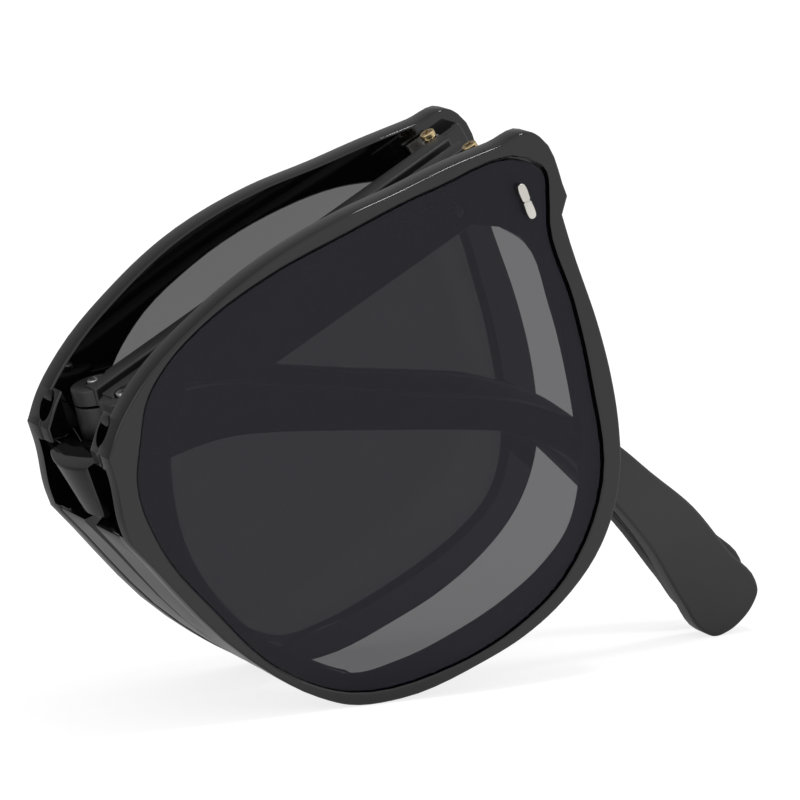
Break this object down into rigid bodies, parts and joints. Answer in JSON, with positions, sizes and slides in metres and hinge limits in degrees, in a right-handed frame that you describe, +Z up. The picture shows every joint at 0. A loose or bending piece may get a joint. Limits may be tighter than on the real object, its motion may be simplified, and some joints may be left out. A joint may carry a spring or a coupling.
{
  "type": "folding sunglasses",
  "caption": "Sunglasses that fold at the bridge, at the endpieces and in the middle of each temple into a flat pack one lens wide.",
  "frame": {"origin": "centre of the bounding box's bottom face, on the surface that the folded pack stands on", "axes": "+Y runs from the left lens to the right one, through the pack; +X runs along the pack towards the temple tips; +Z is up"},
  "size_m": [0.0872, 0.027, 0.0638],
  "materials": {
    "rim_black": "polished black plastic",
    "lens_smoke": "clear smoke grey lens",
    "temple_charcoal": "satin charcoal plastic",
    "hinge_silver": "plain nickel silver",
    "badge_silver": "polished",
    "screw_silver": "polished",
    "screw_brass": "plain"
  },
  "bodies": {
    "left_front": {"left_rim": "rim_black", "left_lens": "lens_smoke", "left_bridge_screw": "screw_brass", "left_bridge_nut": "screw_brass", "left_rivet_badge": "badge_silver", "left_endpiece_leaf": "hinge_silver", "left_temple_screw": "screw_brass"},
    "link": {"bridge_link": "rim_black"},
    "right_front": {"right_rim": "rim_black", "right_lens": "lens_smoke", "right_bridge_screw": "screw_brass", "right_bridge_nut": "screw_brass", "right_rivet_badge": "badge_silver", "right_endpiece_leaf": "hinge_silver", "right_temple_screw": "screw_brass"},
    "left_temple": {"left_temple": "temple_charcoal", "left_temple_leaf": "hinge_silver", "left_mid_screw": "screw_silver", "left_mid_insert": "screw_brass"},
    "right_temple": {"right_temple": "temple_charcoal", "right_temple_leaf": "hinge_silver", "right_mid_screw": "screw_silver", "right_mid_insert": "screw_brass"},
    "left_tip": {"left_temple_tip": "temple_charcoal"},
    "right_tip": {"right_temple_tip": "temple_charcoal"}
  },
  "joints": [
    {"name": "bridge_hinge_left", "type": "hinge", "parent": "left_front", "child": "link", "pos_m": [-0.03859, -0.0083, 0.02794], "axis": [-0.4905, 0, 0.8714], "range_deg": [0, 90]},
    {"name": "bridge_hinge_right", "type": "hinge", "parent": "link", "child": "right_front", "pos_m": [-0.03859, 0.0083, 0.02794], "axis": [-0.4905, 0, 0.8714], "range_deg": [0, 90]},
    {"name": "temple_hinge_left", "type": "hinge", "parent": "left_front", "child": "left_temple", "pos_m": [0.00702, -0.00545, 0.05781], "axis": [0.4905, 0, -0.8714], "range_deg": [0, 90]},
    {"name": "temple_hinge_right", "type": "hinge", "parent": "right_front", "child": "right_temple", "pos_m": [0.00702, 0.00545, 0.05781], "axis": [-0.4905, 0, 0.8714], "range_deg": [0, 90]},
    {"name": "mid_hinge_left", "type": "hinge", "parent": "left_temple", "child": "left_tip", "pos_m": [-0.03672, -0.0042, 0.03318], "axis": [0.2314, 0, -0.9729], "range_deg": [0, 180]},
    {"name": "mid_hinge_right", "type": "hinge", "parent": "right_temple", "child": "right_tip", "pos_m": [-0.03672, 0.0042, 0.03318], "axis": [-0.2314, 0, 0.9729], "range_deg": [0, 180]}
  ],
  "couplings": [
    {"joint": "temple_hinge_left", "follows": "bridge_hinge_left", "ratio": 0.08},
    {"joint": "temple_hinge_right", "follows": "bridge_hinge_right", "ratio": 0.08},
    {"joint": "mid_hinge_left", "follows": "bridge_hinge_left", "ratio": 0.01},
    {"joint": "mid_hinge_right", "follows": "bridge_hinge_right", "ratio": 0.01}
  ]
}
